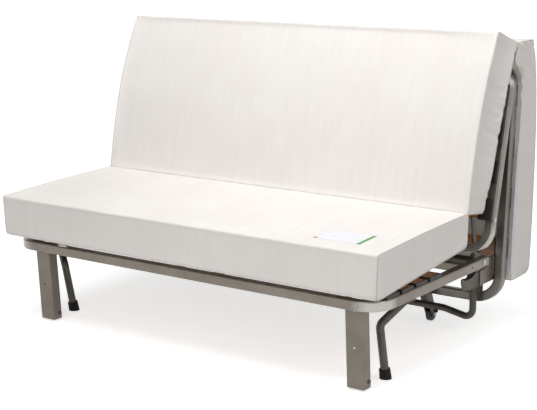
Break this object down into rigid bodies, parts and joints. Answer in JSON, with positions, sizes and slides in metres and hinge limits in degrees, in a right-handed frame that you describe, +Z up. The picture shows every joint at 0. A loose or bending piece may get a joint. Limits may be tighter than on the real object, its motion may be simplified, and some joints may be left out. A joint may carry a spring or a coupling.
{
  "type": "sofa bed",
  "caption": "Sofa bed with a cream foam mattress folded in thirds over a bent steel tube frame with sprung wooden slats, wheeled front legs and a hinged rear leg.",
  "frame": {"origin": "centre of the footprint of the whole sofa, on the floor", "axes": "+X runs along the width, towards the end on the left hand of someone who sits on the sofa, +Y runs from the front edge to the back, +Z is up"},
  "size_m": [1.4436, 0.9753, 0.9539],
  "materials": {
    "cover_fabric": "off-white cotton knit cover with faint ribs, sewn over foam",
    "frame_steel": "satin warm grey powder coat",
    "dark_steel": "satin dark taupe powder coat",
    "slat_wood": "laminated honey beech, satin",
    "black_plastic": "matte black moulding",
    "wheel_plastic": "matte black moulded wheel",
    "tip_rubber": "matte black rubber",
    "zinc_steel": "zinc plated"
  },
  "bodies": {
    "seat_section": {"seat_frame": "frame_steel", "seat_cross_bar": "frame_steel", "rail_plugs": "black_plastic", "seat_slat_1": "slat_wood", "seat_slat_2": "slat_wood", "seat_slat_3": "slat_wood", "seat_slat_4": "slat_wood", "seat_slat_holders": "black_plastic", "mattress_seat": "cover_fabric", "front_leg_right": "dark_steel", "front_leg_left": "dark_steel", "front_wheel_axles": "zinc_steel", "leg_bolts": "zinc_steel", "stay_leg_right": "dark_steel", "stay_leg_left": "dark_steel", "stay_tip_right": "tip_rubber", "stay_tip_left": "tip_rubber", "seat_pivot_bolts": "zinc_steel", "seat_pivot_spacers": "black_plastic", "leg_hanger_right": "dark_steel", "leg_hanger_left": "dark_steel", "hoop_bolts": "zinc_steel"},
    "fold_links": {"link_arm_right": "frame_steel", "link_arm_left": "frame_steel", "link_shaft": "frame_steel"},
    "back_section": {"back_frame": "frame_steel", "back_slat_1": "slat_wood", "back_slat_2": "slat_wood", "back_slat_3": "slat_wood", "back_slat_4": "slat_wood", "back_slat_holders": "black_plastic", "mattress_back": "cover_fabric", "back_hinge_ears": "frame_steel", "back_pivot_bolts": "zinc_steel"},
    "rear_section": {"rear_frame": "frame_steel", "rear_slat_1": "slat_wood", "rear_slat_2": "slat_wood", "rear_slat_3": "slat_wood", "rear_slat_4": "slat_wood", "rear_slat_holders": "black_plastic", "mattress_rear": "cover_fabric", "rear_hinge_ears": "frame_steel", "hinge_pins": "zinc_steel", "far_foot_right": "frame_steel", "far_foot_left": "frame_steel", "far_shoe_right": "frame_steel", "far_shoe_left": "frame_steel", "far_foot_bolts": "zinc_steel"},
    "rear_leg": {"hoop_leg": "dark_steel", "castor_bracket_right": "dark_steel", "castor_bracket_left": "dark_steel", "castor_axles": "zinc_steel", "hoop_bumpers": "tip_rubber"},
    "wheel_right": {"front_wheel_right": "wheel_plastic"},
    "wheel_left": {"front_wheel_left": "wheel_plastic"},
    "castor_right": {"castor_wheel_right": "wheel_plastic"},
    "castor_left": {"castor_wheel_left": "wheel_plastic"}
  },
  "joints": [
    {"name": "fold", "type": "hinge", "parent": "seat_section", "child": "fold_links", "pos_m": [0, 0.15886, 0.26], "axis": [1, 0, 0], "range_deg": [0, 72.07]},
    {"name": "back_fold", "type": "hinge", "parent": "fold_links", "child": "back_section", "pos_m": [0, 0.15976, 0.395], "axis": [1, 0, 0], "range_deg": [-145.17, 0]},
    {"name": "rear_fold", "type": "hinge", "parent": "back_section", "child": "rear_section", "pos_m": [0, 0.31771, 0.91579], "axis": [1, 0, 0], "range_deg": [0, 157.6]},
    {"name": "rear_leg_fold", "type": "hinge", "parent": "seat_section", "child": "rear_leg", "pos_m": [0, 0.25766, 0.16], "axis": [1, 0, 0], "range_deg": [-75, 0]},
    {"name": "wheel_right_spin", "type": "hinge", "parent": "seat_section", "child": "wheel_right", "pos_m": [0.5915, -0.39158, 0.024], "axis": [1, 0, 0], "continuous": true},
    {"name": "wheel_left_spin", "type": "hinge", "parent": "seat_section", "child": "wheel_left", "pos_m": [-0.5915, -0.39158, 0.024], "axis": [1, 0, 0], "continuous": true},
    {"name": "castor_right_spin", "type": "hinge", "parent": "rear_leg", "child": "castor_right", "pos_m": [0.437, 0.29766, 0.024], "axis": [1, 0, 0], "continuous": true},
    {"name": "castor_left_spin", "type": "hinge", "parent": "rear_leg", "child": "castor_left", "pos_m": [-0.437, 0.29766, 0.024], "axis": [1, 0, 0], "continuous": true}
  ],
  "couplings": [
    {"joint": "back_fold", "follows": "fold", "ratio": -2.0073},
    {"joint": "rear_fold", "follows": "fold", "ratio": 2.1798}
  ]
}
